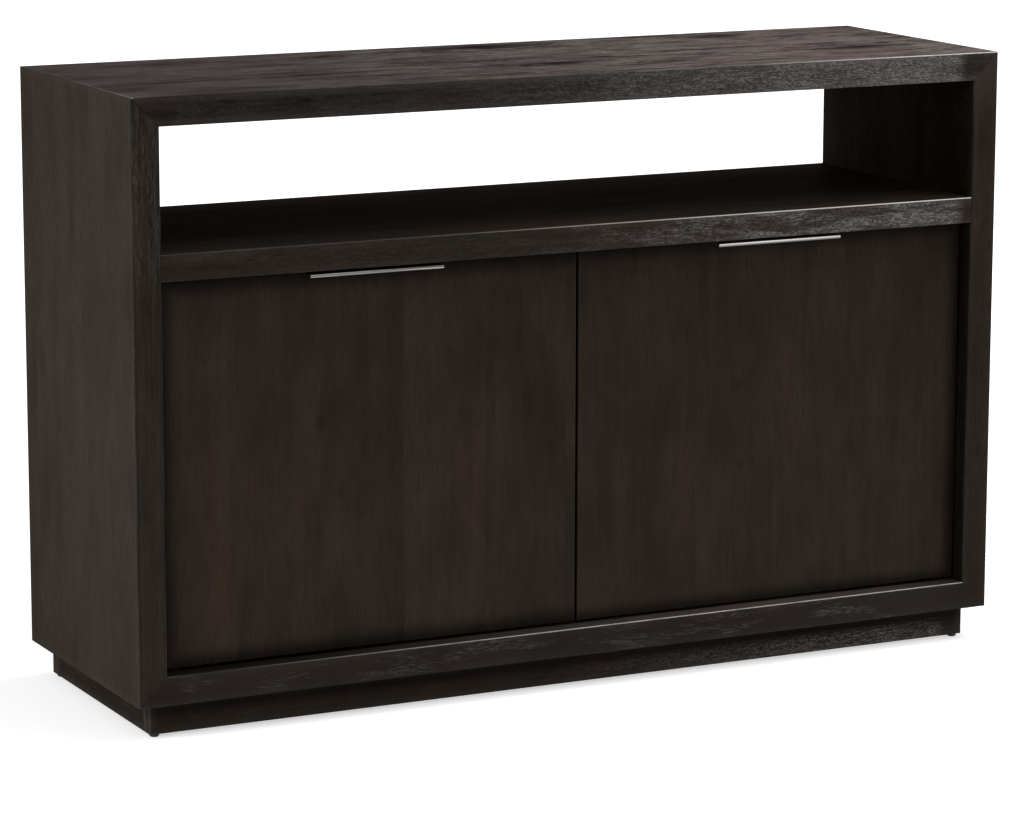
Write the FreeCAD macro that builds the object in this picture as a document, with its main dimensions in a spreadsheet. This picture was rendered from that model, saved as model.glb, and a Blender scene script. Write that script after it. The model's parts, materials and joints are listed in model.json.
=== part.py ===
import FreeCAD, Part
import os
import re
import Sketcher

# Two-door media console: +X to the right, +Y to the back, +Z up, origin on the floor under its middle.

# Driving dimensions, in millimetres
sizes = {
    # case
    "case_width": 1372,
    "case_depth": 432,
    "case_height": 843,
    "panel_thickness": 41,
    "media_height": 174,
    "shelf_thickness": 38,
    "arris_radius": 1.2,
    "fit": 0.1,
    # mitre splines
    "spline_width": 18,
    "spline_thickness": 4,
    "spline_stop": 30,
    # housed joints of the media shelf and the partition
    "tongue_thickness": 14,
    "tongue_depth": 10,
    "tongue_stop": 25,
    "housing_depth": 6,
    # plinth and glides
    "plinth_height": 46,
    "plinth_side_setback": 25,
    "plinth_front_setback": 27,
    "plinth_back_setback": 20,
    "rail_thickness": 20,
    "block_leg": 60,
    "block_height": 36,
    "block_screw_inset": 20,
    "glide_height": 5,
    "glide_radius": 7,
    "glide_edge": 1.5,
    # back panel
    "back_thickness": 6,
    "back_inset": 4,
    "rebate": 10,
    "cord_hole_radius": 30,
    "cord_hole_drop": 120,
    # doors
    "door_recess": 25,
    "door_thickness": 20,
    "door_side_gap": 3.5,
    "door_centre_gap": 3.5,
    "door_top_gap": 4.5,
    "door_bottom_gap": 4.5,
    # pivot hinges
    "pivot_inset": 20,
    "pin_radius": 3,
    "pin_reach": 12,
    "pin_clearance": 0.1,
    "leaf_width": 14,
    "leaf_length": 58,
    "leaf_end": 7,
    "leaf_thickness": 2.5,
    "leaf_screw_first": 20,
    "leaf_screw_second": 36,
    "washer_clearance": 0.2,
    # edge pulls
    "pull_length": 203,
    "pull_thickness": 2,
    "pull_sink": 2,
    "pull_reach": 20,
    "pull_lip": 5,
    "pull_back_margin": 2,
    "pull_bend": 1.5,
    "pull_edge": 0.6,
    "pull_screw_margin": 20,
    # catches, strikes and bumpers
    "catch_offset": 40,
    "catch_width": 26,
    "catch_depth": 16,
    "catch_height": 18,
    "catch_ear": 11,
    "catch_ear_thickness": 3,
    "magnet_height": 6,
    "magnet_depth": 8,
    "magnet_margin": 3,
    "magnet_lift": 2,
    "strike_thickness": 1,
    "strike_height": 16,
    "strike_margin": 2,
    "strike_tail": 12,
    "closing_gap": 0.3,
    "bumper_radius": 4,
    "bumper_height": 2.5,
    "bumper_inset": 6,
    "bumper_margin": 60,
    # partition and adjustable shelves
    "partition_thickness": 25,
    "loose_shelf_thickness": 18,
    "loose_shelf_setback": 28,
    "loose_shelf_play": 1.5,
    "peg_radius": 2.5,
    "peg_depth": 9,
    "peg_tongue_length": 11,
    "peg_tongue_width": 10,
    "peg_tongue_thickness": 3,
    "peg_front_margin": 70,
    "peg_back_margin": 40,
    "peg_hole_start": 180,
    "peg_hole_pitch": 32,
    # screws
    "small_head_radius": 3,
    "small_head_depth": 1.5,
    "small_shank_radius": 1.5,
    "small_screw_length": 16,
    "long_head_radius": 4.5,
    "long_head_depth": 3,
    "long_shank_radius": 2.5,
    "long_screw_length": 60,
}

# Places worked out from the driving dimensions
places = {
    "half_width": "case_width / 2",
    "inner_half": "half_width - panel_thickness",
    "front": "-case_depth / 2",
    "rear": "case_depth / 2",
    "case_floor": "glide_height + plinth_height",
    "case_top": "case_floor + case_height",
    "ledge": "case_floor + panel_thickness",
    "ceiling": "case_top - panel_thickness",
    "shelf_top": "ceiling - media_height",
    "shelf_under": "shelf_top - shelf_thickness",
    "mitre_middle": "half_width - panel_thickness / 2",
    "door_front": "front + door_recess",
    "door_back": "door_front + door_thickness",
    "door_low": "ledge + door_bottom_gap",
    "door_high": "shelf_under - door_top_gap",
    "door_outer": "inner_half - door_side_gap",
    "door_inner": "door_centre_gap / 2",
    "door_middle": "(door_outer + door_inner) / 2",
    "pivot_x": "door_outer - pivot_inset",
    "pivot_y": "door_front + door_thickness / 2",
    "back_outside": "rear - back_inset",
    "back_inside": "back_outside - back_thickness",
    "back_half": "inner_half + rebate - fit",
    "back_low": "ledge - rebate + fit",
    "back_high": "shelf_under + rebate - fit",
    "partition_half": "partition_thickness / 2",
    "partition_front": "door_back + bumper_height + closing_gap",
    "cupboard_middle": "(partition_half + inner_half) / 2",
    "peg_front_y": "door_back + loose_shelf_setback + peg_front_margin",
    "peg_back_y": "back_inside - peg_back_margin",
    "plinth_half": "half_width - plinth_side_setback",
    "plinth_front": "front + plinth_front_setback",
    "plinth_back": "rear - plinth_back_setback",
    "plinth_inner_front": "plinth_front + rail_thickness",
    "plinth_inner_back": "plinth_back - rail_thickness",
    "plinth_inner_half": "plinth_half - rail_thickness",
    "catch_front": "door_back + strike_thickness + closing_gap",
    "catch_inner": "door_inner + catch_offset",
    "catch_outer": "catch_inner + catch_width",
    "pull_seat": "door_high - pull_sink",
    "pull_top": "pull_seat + pull_thickness",
    "pull_rear": "door_back - pull_back_margin",
    "pull_front": "door_front - pull_reach",
}

# Counts of what repeats
back_screw_columns = 4
peg_holes_per_row = 3
peg_hole_used = 1
pull_screw_count = 2

# Sides of the small hidden fasteners, pegs and their holes, which are drawn with few faces
fastener_faces = 8

sides = {"left": -1, "right": 1}
levels = {"lower": 1, "upper": -1}

doc = FreeCAD.newDocument("MediaConsole")
sheet = doc.addObject("Spreadsheet::Sheet", "Dims")
for row, (alias, number) in enumerate(sizes.items(), start=1):
    sheet.set(f"A{row}", alias)
    sheet.set(f"B{row}", str(number))
    sheet.setAlias(f"B{row}", alias)
doc.recompute()

nodes = []


def expand(text):
    # Writes a formula of sizes and places as one that reads the sheet
    def swap(match):
        word = match.group(0)
        if word in sizes:
            return "Dims." + word
        if word in places:
            return "(" + expand(places[word]) + ")"
        return word
    return re.sub(r"[a-z]\w*", swap, text)


def value(text):
    return float(sheet.evalExpression(expand(text)))


def node(label, piece):
    piece.Label = label
    nodes.append(piece)
    return piece


def put(piece, at):
    for axis, text in zip("xyz", at):
        piece.setExpression("Placement.Base." + axis, expand(text))


def span(side, inner, outer):
    # A run from the inner to the outer distance from the middle, on one side of it
    if side < 0:
        return (f"-({outer})", f"-({inner})")
    return (inner, outer)


def block(name, x, y, z):
    piece = doc.addObject("Part::Box", name)
    for edge, (low, high) in zip(("Length", "Width", "Height"), (x, y, z)):
        piece.setExpression(edge, expand(f"({high}) - ({low})"))
    put(piece, (x[0], y[0], z[0]))
    return piece


turns = {
    "+x": FreeCAD.Rotation(FreeCAD.Vector(0, 1, 0), 90),
    "-x": FreeCAD.Rotation(FreeCAD.Vector(0, 1, 0), -90),
    "+y": FreeCAD.Rotation(FreeCAD.Vector(1, 0, 0), -90),
    "-y": FreeCAD.Rotation(FreeCAD.Vector(1, 0, 0), 90),
    "+z": FreeCAD.Rotation(),
    "-z": FreeCAD.Rotation(FreeCAD.Vector(1, 0, 0), 180),
}


def aim(piece, start, way):
    piece.Placement = FreeCAD.Placement(FreeCAD.Vector(), turns[way])
    put(piece, start)


def rod(name, start, way, radius, length):
    piece = doc.addObject("Part::Cylinder", name)
    piece.setExpression("Radius", expand(radius))
    piece.setExpression("Height", expand(length))
    aim(piece, start, way)
    return piece


def stud(name, start, way, radius, length):
    # A plain rod with few faces
    piece = doc.addObject("Part::Prism", name)
    piece.Polygon = fastener_faces
    piece.setExpression("Circumradius", expand(radius))
    piece.setExpression("Height", expand(length))
    aim(piece, start, way)
    return piece


def cone(name, start, way, radius, far_radius, length):
    piece = doc.addObject("Part::Cone", name)
    piece.setExpression("Radius1", expand(radius))
    piece.setExpression("Radius2", expand(far_radius))
    piece.setExpression("Height", expand(length))
    aim(piece, start, way)
    return piece


def joined(name, pieces):
    whole = doc.addObject("Part::MultiFuse", name)
    whole.Shapes = pieces
    whole.Refine = True
    return whole


def group(name, pieces):
    bundle = doc.addObject("Part::Compound", name)
    bundle.Links = pieces
    return bundle


def less(name, base, cutters):
    for number, cutter in enumerate(cutters):
        result = doc.addObject("Part::Cut", f"{name}_cut{number}")
        result.Base = base
        result.Tool = cutter
        base = result
    return base


def eased(name, base, chosen):
    # Rounds the chosen sharp edges
    doc.recompute()
    fillet = doc.addObject("Part::Fillet", name + "_eased")
    fillet.Base = base
    radius = value("arris_radius")
    fillet.Edges = [(i, radius, radius) for i, edge in enumerate(base.Shape.Edges, 1) if chosen(edge)]
    return fillet


def on_plane(axis, text, edge):
    level = value(text)
    return all(abs(getattr(vertex.Point, axis) - level) < value("fit") for vertex in edge.Vertexes)


def runs_along(axis, edge):
    start, end = (vertex.Point for vertex in edge.Vertexes)
    return all(abs(getattr(start - end, other)) < value("fit") for other in "xyz" if other != axis)


def front_arris(edge):
    return on_plane("y", "front", edge) and (runs_along("x", edge) or runs_along("z", edge))


def sketch(body, plane, outline, offset):
    support = [feature for feature in body.Origin.OriginFeatures if feature.Role == plane]
    drawing = body.newObject("Sketcher::SketchObject", body.Name + "_outline")
    drawing.AttachmentSupport = (support[0], [""])
    drawing.MapMode = "FlatFace"
    drawing.setExpression("AttachmentOffset.Base.z", expand(offset))
    corners = [FreeCAD.Vector(value(across), value(up), 0) for across, up in outline]
    last = len(corners) - 1
    for i, corner in enumerate(corners):
        following = corners[0 if i == last else i + 1]
        drawing.addGeometry(Part.LineSegment(corner, following), False)
    for i in range(len(corners)):
        following = 0 if i == last else i + 1
        drawing.addConstraint(Sketcher.Constraint("Coincident", i, 2, following, 1))
    for i, (across, up) in enumerate(outline):
        for kind, text in (("DistanceX", across), ("DistanceY", up)):
            spot = drawing.addConstraint(Sketcher.Constraint(kind, -1, 1, i, 1, value(text)))
            drawing.setExpression(f"Constraints[{spot}]", expand(text))
    return drawing


def padded(name, plane, outline, offset, length, backwards):
    body = doc.addObject("PartDesign::Body", name)
    drawing = sketch(body, plane, outline, offset)
    pad = body.newObject("PartDesign::Pad", name + "_pad")
    pad.Profile = drawing
    pad.Reversed = backwards
    pad.setExpression("Length", expand(length))
    doc.recompute()
    return body, pad


def body_fillet(body, base, radius, chosen):
    fillet = body.newObject("PartDesign::Fillet", body.Name + "_fillet")
    edges = [f"Edge{i}" for i, edge in enumerate(base.Shape.Edges, 1) if chosen(edge)]
    fillet.Base = (base, edges)
    fillet.setExpression("Radius", expand(radius))
    doc.recompute()
    return fillet


def screw(name, start, way, kind, slack="0"):
    # A flush-headed screw, or with slack the hole it goes in
    head = stud(name + "_head", start, way, f"{kind}_head_radius + {slack}", f"{kind}_head_depth")
    shank = stud(name + "_shank", start, way, f"{kind}_shank_radius + {slack}",
                 f"{kind}_screw_length + {slack}")
    return joined(name, [head, shank])


def screws_and_holes(name, kind, starts):
    # Screws at the given starts and ways, with the holes they need
    pieces = []
    holes = []
    for number, (start, way) in enumerate(starts):
        pieces.append(screw(f"{name}_{number}", start, way, kind))
        holes.append(screw(f"{name}_hole_{number}", start, way, kind, "fit"))
    return group(name, pieces), group(name + "_holes", holes)


def even(number, count, low, high):
    # The place of one of several things spread evenly from low to high
    return f"({low}) + (({high}) - ({low})) * {number} / {count - 1}"


# Mitre splines and their grooves, one in each corner, stopped short of the front
def spline(name, side, level, slack):
    width = f"spline_width + 2 * {slack}"
    thickness = f"spline_thickness + 2 * {slack}"
    piece = doc.addObject("Part::Box", name)
    piece.setExpression("Length", expand(width))
    piece.setExpression("Width", expand(f"case_depth - spline_stop + {slack}"))
    piece.setExpression("Height", expand(thickness))
    tilt = side * level
    piece.Placement = FreeCAD.Placement(
        FreeCAD.Vector(), FreeCAD.Rotation(FreeCAD.Vector(0, 1, 0), tilt * 45))
    middle = "ledge - panel_thickness / 2" if level > 0 else "ceiling + panel_thickness / 2"
    # The box turns about its corner, so the corner is set back from the mitre's middle
    along = f"({width}) / 2 / sqrt(2)"
    across = f"({thickness}) / 2 / sqrt(2)"
    put(piece, (f"{side} * mitre_middle - {along} - {tilt} * {across}",
                f"front + spline_stop - {slack}",
                f"{middle} + {tilt} * {along} - {across}"))
    return piece


splines = []
grooves = []
for side_name, side in sides.items():
    for level_name, level in levels.items():
        splines.append(spline(f"{side_name}_{level_name}_spline", side, level, "0"))
        grooves.append(spline(f"{side_name}_{level_name}_groove", side, level, "fit"))
spline_grooves = group("spline_grooves", grooves)
node("corner_splines", group("corner_splines_group", splines))

# The rebate for the back panel, in the sides, bottom and media shelf
back_rebate = block("back_rebate", ("-(inner_half + rebate)", "inner_half + rebate"),
                    ("back_inside", "rear + rebate"), ("ledge - rebate", "shelf_under + rebate"))


# The media shelf's end tongues sit in stopped grooves in the sides
def tongues(name, slack):
    return group(name, [
        block(f"{side_name}_{name}", span(side, "inner_half", f"inner_half + tongue_depth + {slack}"),
              (f"front + tongue_stop - {slack}", "back_inside"),
              (f"shelf_top - shelf_thickness / 2 - tongue_thickness / 2 - {slack}",
               f"shelf_top - shelf_thickness / 2 + tongue_thickness / 2 + {slack}"))
        for side_name, side in sides.items()])


shelf_tongues = tongues("shelf_tongues", "0")
shelf_grooves = tongues("shelf_grooves", "fit")

# The partition's ends sit in housings in the bottom panel and the media shelf
partition_housing = block("partition_housing", ("-(partition_half + fit)", "partition_half + fit"),
                          ("partition_front - fit", "back_inside"),
                          ("ledge - housing_depth", "shelf_under + housing_depth"))

# Rows of peg holes in the sides and the partition
peg_height = "ledge + peg_hole_start + {} * peg_hole_pitch"


def wall_pegs(name, side, maker, heights):
    pieces = []
    for wall, face, way in (("inner", "partition_half", 1), ("outer", "inner_half", -1)):
        for row, y in (("front", "peg_front_y"), ("back", "peg_back_y")):
            for height in heights:
                spot = (f"{side} * ({face})", y, peg_height.format(height))
                pieces.append(maker(f"{name}_{wall}_{row}_{height}", side * way, spot))
    return pieces


def peg_hole(name, way, spot):
    return stud(name, spot, "-x" if way > 0 else "+x", "peg_radius + fit", "peg_depth + fit")


def peg(name, way, spot):
    # A round pin in the wall with a flat tongue under the shelf
    x, y, z = spot
    pin = stud(name + "_pin", spot, "-x" if way > 0 else "+x", "peg_radius", "peg_depth")
    run = (x, f"{x} + peg_tongue_length") if way > 0 else (f"{x} - peg_tongue_length", x)
    tongue = block(name + "_tongue", run, (f"{y} - peg_tongue_width / 2", f"{y} + peg_tongue_width / 2"),
                   (f"{z} + peg_radius - peg_tongue_thickness", f"{z} + peg_radius"))
    return joined(name, [pin, tongue])


all_peg_holes = []
for side_name, side in sides.items():
    all_peg_holes += wall_pegs(f"{side_name}_peg_hole", side, peg_hole, range(peg_holes_per_row))
    pegs = wall_pegs(f"{side_name}_peg", side, peg, [peg_hole_used])
    node(f"{side_name}_shelf_pegs", group(f"{side_name}_pegs", pegs))
peg_holes = group("peg_holes", all_peg_holes)

# Floor glides under the plinth, with a tapered lower edge
glide_x = "plinth_half - rail_thickness / 2"
glide_spots = [(f"{side} * ({glide_x})", y)
               for side in sides.values()
               for y in ("plinth_front + rail_thickness / 2", "plinth_back - rail_thickness / 2")]
glide_spots.append(("0", "(plinth_front + plinth_back) / 2"))
glides = []
for number, (x, y) in enumerate(glide_spots):
    foot = cone(f"glide_{number}_foot", (x, y, "0"), "+z",
                "glide_radius - glide_edge", "glide_radius", "glide_edge")
    disc = rod(f"glide_{number}_disc", (x, y, "glide_edge"), "+z",
               "glide_radius", "glide_height - glide_edge")
    glides.append(joined(f"glide_{number}", [foot, disc]))
node("floor_glides", group("floor_glides_group", glides))

# Screws up through the corner blocks into the bottom panel
plinth_starts = []
for side in sides.values():
    for y, inward in (("plinth_inner_front", 1), ("plinth_inner_back", -1)):
        plinth_starts.append(((f"{side} * (plinth_inner_half - block_screw_inset)",
                               f"{y} + {inward} * block_screw_inset", "case_floor - block_height"), "+z"))
plinth_screws, plinth_screw_holes = screws_and_holes("plinth_screw", "long", plinth_starts)
node("plinth_screws", plinth_screws)

# Plinth rails, cross rail and corner blocks
plinth_z = ("glide_height", "case_floor")
long_x = ("-(plinth_half)", "plinth_half")
rail_spans = {
    "plinth_front_rail": (long_x, ("plinth_front", "plinth_inner_front"), plinth_z),
    "plinth_back_rail": (long_x, ("plinth_inner_back", "plinth_back"), plinth_z),
    "plinth_left_rail": (span(-1, "plinth_inner_half", "plinth_half"),
                         ("plinth_inner_front", "plinth_inner_back"), plinth_z),
    "plinth_right_rail": (span(1, "plinth_inner_half", "plinth_half"),
                          ("plinth_inner_front", "plinth_inner_back"), plinth_z),
    "plinth_cross_rail": (("-rail_thickness / 2", "rail_thickness / 2"),
                          ("plinth_inner_front", "plinth_inner_back"), plinth_z),
}
for label, (x, y, z) in rail_spans.items():
    node(label, block(label + "_board", x, y, z))

corner_blocks = []
for side_name, side in sides.items():
    for end_name, y, inward in (("front", "plinth_inner_front", 1), ("back", "plinth_inner_back", -1)):
        x = f"{side} * plinth_inner_half"
        corner = [(x, y), (f"{x} - {side} * block_leg", y), (x, f"{y} + {inward} * block_leg")]
        body, pad = padded(f"{side_name}_{end_name}_block", "XY_Plane", corner,
                           "case_floor - block_height", "block_height", False)
        corner_blocks.append(less(f"{side_name}_{end_name}_block", body, [plinth_screw_holes]))
node("plinth_corner_blocks", group("corner_blocks_group", corner_blocks))


# Pivot hinges: a leaf with a pin let into the case, a leaf with a bore let into the door's edge
def leaf(name, side, low, slack):
    half = f"leaf_width / 2 + {slack}"
    run = span(side, f"pivot_x - leaf_length + leaf_end - {slack}", f"pivot_x + leaf_end + {slack}")
    return block(name, run, (f"pivot_y - ({half})", f"pivot_y + {half}"), (low, f"{low} + leaf_thickness"))


plate_starts = []
bush_starts = {"left": [], "right": []}
plates = []
bushes = []
mortises = []
door_bores = []
washers = []
for side_name, side in sides.items():
    axis_x = f"{side} * pivot_x"
    for level_name, level in levels.items():
        name = f"{side_name}_{level_name}"
        into_case = "-z" if level > 0 else "+z"
        into_door = "+z" if level > 0 else "-z"
        surface = "ledge" if level > 0 else "shelf_under"
        door_edge = "door_low" if level > 0 else "door_high"
        gap = "door_bottom_gap" if level > 0 else "door_top_gap"
        case_low = f"{surface} - leaf_thickness" if level > 0 else surface
        door_low = door_edge if level > 0 else f"{door_edge} - leaf_thickness"
        plate = leaf(f"{name}_plate_leaf", side, case_low, "0")
        pin = rod(f"{name}_pin", (axis_x, "pivot_y", f"{surface} - {level} * leaf_thickness"), into_door,
                  "pin_radius", f"leaf_thickness + {gap} + pin_reach")
        plates.append((f"{name}_pivot_plate", joined(f"{name}_plate_with_pin", [plate, pin])))
        bush = leaf(f"{name}_bush_leaf", side, door_low, "0")
        bushes.append((f"{name}_pivot_bush", side_name, bush))
        door_bores.append(rod(f"{name}_pin_bore", (axis_x, "pivot_y", door_edge), into_door,
                              "pin_radius + pin_clearance", "pin_reach + 2 * pin_clearance"))
        mortises.append(leaf(f"{name}_case_mortise", side, case_low, "fit"))
        mortises.append(leaf(f"{name}_door_mortise", side, door_low, "fit"))
        if level_name == "lower":
            # The door's weight runs on a washer round the lower pin
            ring = rod(f"{name}_washer_disc", (axis_x, "pivot_y", surface), into_door, "leaf_width / 2",
                       f"{gap} - washer_clearance")
            eye = rod(f"{name}_washer_eye", (axis_x, "pivot_y", surface), into_door,
                      "pin_radius + pin_clearance", gap)
            washers.append(less(f"{name}_washer", ring, [eye]))
        for distance in ("leaf_screw_first", "leaf_screw_second"):
            x = f"{side} * (pivot_x - {distance})"
            plate_starts.append(((x, "pivot_y", surface), into_case))
            bush_starts[side_name].append(((x, "pivot_y", door_edge), into_door))

plate_screws, plate_screw_holes = screws_and_holes("plate_screw", "small", plate_starts)
node("pivot_plate_screws", plate_screws)
node("pivot_washers", group("pivot_washers_group", washers))
leaf_mortises = group("leaf_mortises", mortises)
pin_bores = group("pin_bores", door_bores)
bush_holes = {}
for side_name, starts in bush_starts.items():
    bush_screws, bush_holes[side_name] = screws_and_holes(f"{side_name}_bush_screw", "small", starts)
    node(f"{side_name}_bush_screws", bush_screws)
for label, plate in plates:
    node(label, less(label, plate, [plate_screw_holes]))
for label, side_name, bush in bushes:
    node(label, less(label, bush, [pin_bores, bush_holes[side_name]]))

# Magnetic catches under the media shelf, behind the doors' free edges
catch_starts = []
for side in sides.values():
    for x in ("catch_inner - catch_ear / 2", "catch_outer + catch_ear / 2"):
        catch_starts.append(((f"{side} * ({x})", "catch_front + catch_depth / 2",
                              "shelf_under - catch_ear_thickness"), "+z"))
catch_screws, catch_screw_holes = screws_and_holes("catch_screw", "small", catch_starts)
node("catch_screws", catch_screws)
for side_name, side in sides.items():
    depth = ("catch_front", "catch_front + catch_depth")
    case_block = block(f"{side_name}_catch_block", span(side, "catch_inner", "catch_outer"), depth,
                       ("shelf_under - catch_height", "shelf_under"))
    ears = block(f"{side_name}_catch_ears",
                 span(side, "catch_inner - catch_ear", "catch_outer + catch_ear"), depth,
                 ("shelf_under - catch_ear_thickness", "shelf_under"))
    housing = joined(f"{side_name}_catch_shell", [case_block, ears])
    low = "shelf_under - catch_height + magnet_lift"
    magnet = block(f"{side_name}_magnet",
                   span(side, "catch_inner + magnet_margin", "catch_outer - magnet_margin"),
                   ("catch_front", "catch_front + magnet_depth"), (low, f"{low} + magnet_height"))
    slot = block(f"{side_name}_magnet_slot",
                 span(side, "catch_inner + magnet_margin - fit", "catch_outer - magnet_margin + fit"),
                 ("catch_front - fit", "catch_front + magnet_depth"),
                 (f"{low} - fit", f"{low} + magnet_height + fit"))
    node(f"{side_name}_catch_housing", less(f"{side_name}_catch_housing", housing, [slot, catch_screw_holes]))
    node(f"{side_name}_catch_magnet", magnet)

# Case panels, mitred at the corners
panel_outlines = {
    "left_side_panel": [("-(half_width)", "case_floor"), ("-(half_width)", "case_top"),
                        ("-(inner_half)", "ceiling"), ("-(inner_half)", "ledge")],
    "right_side_panel": [("half_width", "case_floor"), ("half_width", "case_top"),
                         ("inner_half", "ceiling"), ("inner_half", "ledge")],
    "bottom_panel": [("-(half_width)", "case_floor"), ("half_width", "case_floor"),
                     ("inner_half", "ledge"), ("-(inner_half)", "ledge")],
    "top_panel": [("-(half_width)", "case_top"), ("half_width", "case_top"),
                  ("inner_half", "ceiling"), ("-(inner_half)", "ceiling")],
}
panel_cutters = {
    "left_side_panel": [spline_grooves, back_rebate, shelf_grooves, peg_holes],
    "right_side_panel": [spline_grooves, back_rebate, shelf_grooves, peg_holes],
    "bottom_panel": [spline_grooves, back_rebate, partition_housing, leaf_mortises,
                     plate_screw_holes, plinth_screw_holes],
    "top_panel": [spline_grooves],
}

# Screws through the back panel into its rebate
back_starts = []
for i in range(back_screw_columns):
    x = even(i, back_screw_columns, "-(inner_half + rebate / 2)", "inner_half + rebate / 2")
    for z in ("ledge - rebate / 2", "shelf_under + rebate / 2"):
        back_starts.append(((x, "back_outside", z), "-y"))
back_screws, back_screw_holes = screws_and_holes("back_screw", "small", back_starts)
node("back_panel_screws", back_screws)

for label, outline in panel_outlines.items():
    body, pad = padded(label + "_blank", "XZ_Plane", outline, "case_depth / 2", "case_depth", True)
    body_fillet(body, pad, "arris_radius", front_arris)
    cutters = panel_cutters[label]
    if label != "top_panel":
        cutters = cutters + [back_screw_holes]
    node(label, less(label, body, cutters))

# Media shelf between the sides
shelf_blank = block("media_shelf_blank", ("-(inner_half)", "inner_half"), ("front", "rear"),
                    ("shelf_under", "shelf_top"))
shelf_blank = eased("media_shelf", shelf_blank,
                    lambda edge: on_plane("y", "front", edge) and runs_along("x", edge))
shelf_blank = joined("media_shelf_tongued", [shelf_blank, shelf_tongues])
node("media_shelf", less("media_shelf", shelf_blank, [
    back_rebate, partition_housing, leaf_mortises, plate_screw_holes, catch_screw_holes, back_screw_holes]))

# Centre partition
partition_blank = block("partition_blank", ("-(partition_half)", "partition_half"),
                        ("partition_front", "back_inside"),
                        ("ledge - housing_depth", "shelf_under + housing_depth"))
node("centre_partition", less("centre_partition", partition_blank, [peg_holes]))

# Back panel behind the cupboards, with a cord hole in each
back_blank = block("back_panel_blank", ("-(back_half)", "back_half"), ("back_inside", "back_outside"),
                   ("back_low", "back_high"))
cord_holes = group("cord_holes", [
    rod(f"{side_name}_cord_hole",
        (f"{side} * cupboard_middle", "back_inside", "shelf_under - cord_hole_drop"),
        "+y", "cord_hole_radius", "back_thickness")
    for side_name, side in sides.items()])
node("back_panel", less("back_panel", back_blank, [cord_holes, back_screw_holes]))

# Adjustable shelves on their pegs
for side_name, side in sides.items():
    low = peg_height.format(peg_hole_used) + " + peg_radius"
    node(f"{side_name}_adjustable_shelf", block(
        f"{side_name}_loose_shelf",
        span(side, "partition_half + loose_shelf_play", "inner_half - loose_shelf_play"),
        ("door_back + loose_shelf_setback", "back_inside - loose_shelf_play"),
        (low, f"{low} + loose_shelf_thickness")))

# Doors, each with its pull, strike plate and bumpers
for side_name, side in sides.items():
    pull_starts = []
    for i in range(pull_screw_count):
        x = even(i, pull_screw_count, f"{side} * door_middle - pull_length / 2 + pull_screw_margin",
                 f"{side} * door_middle + pull_length / 2 - pull_screw_margin")
        pull_starts.append(((x, "pivot_y", "pull_top"), "-z"))
    pull_screws, pull_holes = screws_and_holes(f"{side_name}_pull_screw", "small", pull_starts)
    node(f"{side_name}_pull_screws", pull_screws)

    strike_z = ("door_high - strike_margin - strike_height", "door_high - strike_margin")
    strike = block(f"{side_name}_strike", span(side, "catch_inner", "catch_outer + strike_tail"),
                   ("door_back", "door_back + strike_thickness"), strike_z)
    strike_starts = [((f"{side} * (catch_outer + strike_tail / 2)", "door_back + strike_thickness",
                       "door_high - strike_margin - strike_height / 2"), "-y")]
    strike_screws, strike_holes = screws_and_holes(f"{side_name}_strike_screws", "small", strike_starts)
    node(f"{side_name}_strike_screw", strike_screws)
    node(f"{side_name}_strike_plate", less(f"{side_name}_strike_plate", strike, [strike_holes]))

    blank = block(f"{side_name}_door_blank", span(side, "door_inner", "door_outer"),
                  ("door_front", "door_back"), ("door_low", "door_high"))
    blank = eased(f"{side_name}_door", blank, lambda edge: on_plane("y", "door_front", edge))
    pull_notch = block(f"{side_name}_pull_notch",
                       (f"{side} * door_middle - pull_length / 2 - fit",
                        f"{side} * door_middle + pull_length / 2 + fit"),
                       ("pull_front", "pull_rear + fit"), ("pull_seat", "shelf_under"))
    node(f"{side_name}_door_panel", less(f"{side_name}_door_panel", blank, [
        leaf_mortises, pin_bores, bush_holes[side_name], pull_notch, pull_holes, strike_holes]))

    # The pull's section: a flat flange let into the door's top edge and a lip turned down in front of it
    section = [("pull_rear", "pull_top"), ("pull_front", "pull_top"),
               ("pull_front", "pull_top - pull_lip"), ("pull_front + pull_thickness", "pull_top - pull_lip"),
               ("pull_front + pull_thickness", "pull_seat"), ("pull_rear", "pull_seat")]
    body, pad = padded(f"{side_name}_pull_blank", "YZ_Plane", section,
                       f"{side} * door_middle - pull_length / 2", "pull_length", False)
    bend = body_fillet(body, pad, "pull_bend",
                       lambda edge: on_plane("y", "pull_front", edge) and on_plane("z", "pull_top", edge))
    body_fillet(body, bend, "pull_edge",
                lambda edge: on_plane("y", "pull_front", edge) and on_plane("z", "pull_top - pull_lip", edge))
    node(f"{side_name}_edge_pull", less(f"{side_name}_edge_pull", body, [pull_holes]))

    bumpers = [rod(f"{side_name}_bumper_{number}",
                   (f"{side} * (door_inner + bumper_inset)", "door_back", z),
                   "+y", "bumper_radius", "bumper_height")
               for number, z in enumerate(("door_low + bumper_margin", "door_high - bumper_margin"))]
    node(f"{side_name}_door_bumpers", group(f"{side_name}_bumpers", bumpers))

doc.recompute()
for item in doc.Objects:
    if "Invalid" in item.State or "Error" in item.State:
        raise RuntimeError(f"{item.Name} failed: {item.State}")
for piece in nodes:
    if piece.Shape.isNull() or not piece.Shape.isValid() or not piece.Shape.Solids:
        raise RuntimeError(f"{piece.Label} has no valid solid")

os.makedirs("parts", exist_ok=True)
for piece in nodes:
    piece.Shape.exportStep(f"parts/{piece.Label}.step")
print(len(nodes), "nodes,", sum(len(piece.Shape.Solids) for piece in nodes), "solids")
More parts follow.
